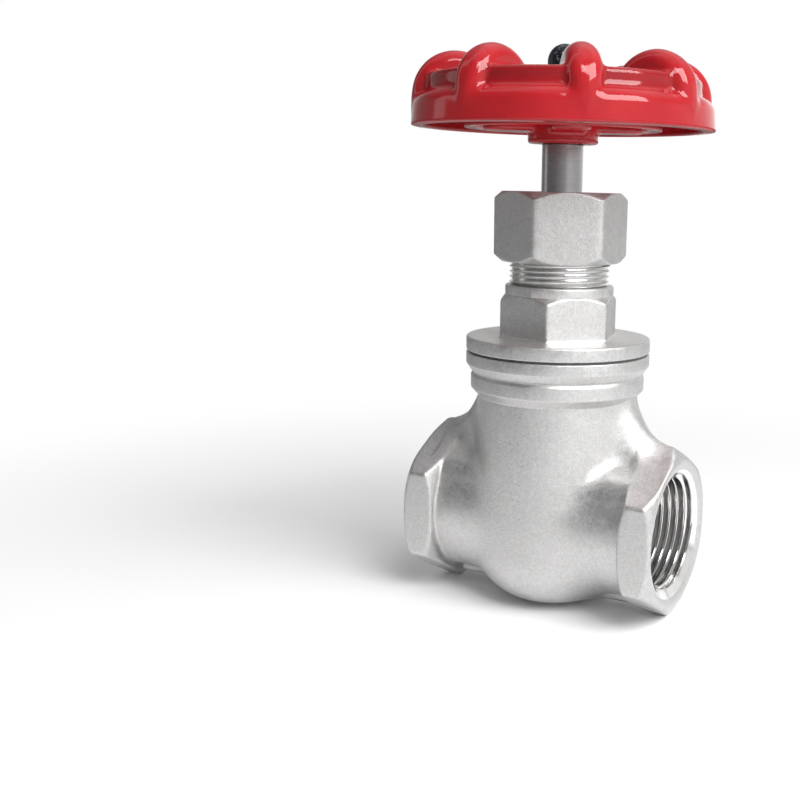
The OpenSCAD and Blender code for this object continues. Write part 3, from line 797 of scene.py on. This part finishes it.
# Each spoke is a flat tongue from the hub, and its upper half runs on into the rim as a bridge
spoke_count, spoke_low, spoke_top, spoke_round, spoke_fillet = 4, -0.6, 4.6, 0.7, 1.4
bridge_low, bridge_bite, bridge_round, bridge_fillet = 2.3, 1.2, 0.5, 0.8
spoke_out, spoke_side = in_sector(spoke_count)
past_end = most(spoke_out - size["Spoke reach"] + size["Spoke half"], 0)
plan = length_of(past_end, spoke_side) - size["Spoke half"]
spoke = rounded_box(plan, between(z, spoke_low, spoke_top), spoke_round)
bridge_plan = most(spoke_side - size["Spoke half"], spoke_out - size["Inner radius"] - bridge_bite)
bridge = rounded_box(bridge_plan, between(z, bridge_low, spoke_top), bridge_round)
spoke = smooth_min(spoke, bridge, bridge_fillet)
hub_bottom, hub_top, hub_round, hub_fillet = -3.0, 6.7, 0.7, 1.2
hub = rounded_box(out - size["Hub radius"], between(z, hub_bottom, hub_top), hub_round)
wheel = smooth_min(rim, smooth_min(spoke, hub, hub_fillet), spoke_fillet)
wheel = most(wheel, size["Square"] * 0.5 - most(abs(x), abs(y)))

enamel, tree, shader = new_material("red_enamel")
spot = add_node(tree, "ShaderNodeTexCoord").outputs["Object"]
cloud = noise(tree, spot, 9.0, 3.0)
coat = ramp(tree, cloud, [(0.3, (0.37, 0.010, 0.015)), (0.7, (0.43, 0.014, 0.019))])
east, north, up = axes_of(tree, spot)
reach = length_of(east - axis_x, north) / MM
level = up / MM - wheel_z
# The enamel's colour is darkened in the recess above the band, between the lobes: painted shade for the
# recess.
recess_shade_depth, recess_shade_start, recess_shade_width, lobe_crown = 0.38, 27, 3, 15
recess_shade_band = Value(tree, ramp(tree, (reach - recess_shade_start) / recess_shade_width, [(0.5, 1), (0.95, 0)]))
up_share = level / lobe_crown
painted_recess_shade = recess_shade_band * Value(tree, ramp(tree, up_share, [(0.38, 0), (0.46, 1), (0.64, 1), (0.72, 0)]))
shaded_enamel_colour = add_node(tree, "ShaderNodeVectorMath", {"operation": "MULTIPLY"}, n0=coat, n1=1 - painted_recess_shade * recess_shade_depth)
feed(tree, shaded_enamel_colour.outputs[0], shader.inputs["Base Color"])
peel = noise(tree, spot, 1.6, 2.0)
speck = noise(tree, spot, 0.35, 2.0)
feed(tree, ramp(tree, speck, [(0.3, 0.05), (0.75, 0.12)]), shader.inputs["Roughness"])
shader.inputs["Specular IOR Level"].default_value = 0.45
bump = add_node(tree, "ShaderNodeBump", Height=peel * 0.8 + speck * 0.2, Strength=1.0, Distance=0.012 * MM)
feed(tree, bump.outputs[0], shader.inputs["Normal"])

wheel_skin = skin(wheel_tree, wheel, (-33.0, -33.0, -3.8), (33.0, 33.0, 15.6), step=0.42)
handwheel = place(grown("enamelled_wheel", wheel_tree, wheel_skin, enamel, wheel_sizes), z=wheel_z, turn=-56)
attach(handwheel, "stem_and_wheel")
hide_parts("handwheel")

# ==== Wheel nut ====
# A black-oxide dome nut and a plain washer hold the wheel down on its square. The nut has a low hexagon,
# chamfered at both ends, with a turned dome above it that closes the bore.

black_oxide, tree, shader = new_material("black_oxide")
shader.inputs["Metallic"].default_value = 1
spot = add_node(tree, "ShaderNodeTexCoord").outputs["Object"]
# The bright bare-metal specks on the dark oxide are painted glints, for the light specks that the dome shows.
glint_specks = noise(tree, spot, 0.9, 3.0, 0.6)
feed(tree, ramp(tree, glint_specks, [(0.58, (0.05, 0.055, 0.065)), (0.66, (0.55, 0.56, 0.58))]),
     shader.inputs["Base Color"])
feed(tree, ramp(tree, glint_specks, [(0.4, 0.28), (0.7, 0.42)]), shader.inputs["Roughness"])
dome_base, dome_top = (corner.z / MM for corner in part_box("wheel_nut"))
dome_r, dome_flats, bore_r = 3.6, 8, 2.55
dome_z = dome_top - dome_r
angles = np.linspace(0, math.pi / 2 - 0.003, 12)
dome = [(dome_r * math.cos(a), dome_z + dome_r * math.sin(a)) for a in angles]
dome_rows = outline([(bore_r, dome_base), (3.9, dome_base, 0, dome_flats),
                     (4.6, dome_base + 0.5, 0, dome_flats), (4.6, dome_base + 3.4, 0, dome_flats),
                     (3.9, dome_base + 4.0, 0, dome_flats), (dome_r, dome_base + 4.05), *dome,
                     (axle, dome_top - 0.6), (bore_r, dome_z)], step=0.2)
wheel_nut = place(turned("dome_nut", dome_rows, black_oxide, around=120, hex_turn=10))
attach(wheel_nut, "stem_and_wheel")
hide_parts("wheel_nut")

# ==== Gasket, packing, gland, washers and wedge ====
# These pieces keep the shape of the solids. The packing rings are white PTFE, and the gasket's PTFE is
# coloured near black as painted shade for the seam between the flanges. The gland and both washers are turned
# from bar, and the wedge is cast like the body.

ptfe, tree, shader = new_material("ptfe")
spot = add_node(tree, "ShaderNodeTexCoord").outputs["Object"]
feed(tree, ramp(tree, noise(tree, spot, 1.2, 3.0), [(0.3, (0.80, 0.80, 0.77)), (0.7, (0.88, 0.88, 0.86))]),
     shader.inputs["Base Color"])
shader.inputs["Roughness"].default_value = 0.45
# The gasket's near-black colour is painted shade for the dark seam between the neck and bonnet flanges.
seam_shade_ptfe, tree, shader = new_material("seam_shade_ptfe")
spot = add_node(tree, "ShaderNodeTexCoord").outputs["Object"]
feed(tree, ramp(tree, noise(tree, spot, 0.8, 3.0), [(0.3, (0.06, 0.06, 0.065)), (0.7, (0.12, 0.12, 0.12))]),
     shader.inputs["Base Color"])
shader.inputs["Roughness"].default_value = 0.6
dressing = {"bonnet_gasket": seam_shade_ptfe, "packing_ring_lower": ptfe, "packing_ring_middle": ptfe,
            "packing_ring_upper": ptfe, "gland": bright_bar, "packing_washer": bright_bar,
            "wheel_washer": bright_bar, "wedge": cast_steel}
for node, material in dressing.items():
    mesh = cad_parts[node].data
    mesh.materials.clear()
    mesh.materials.append(material)
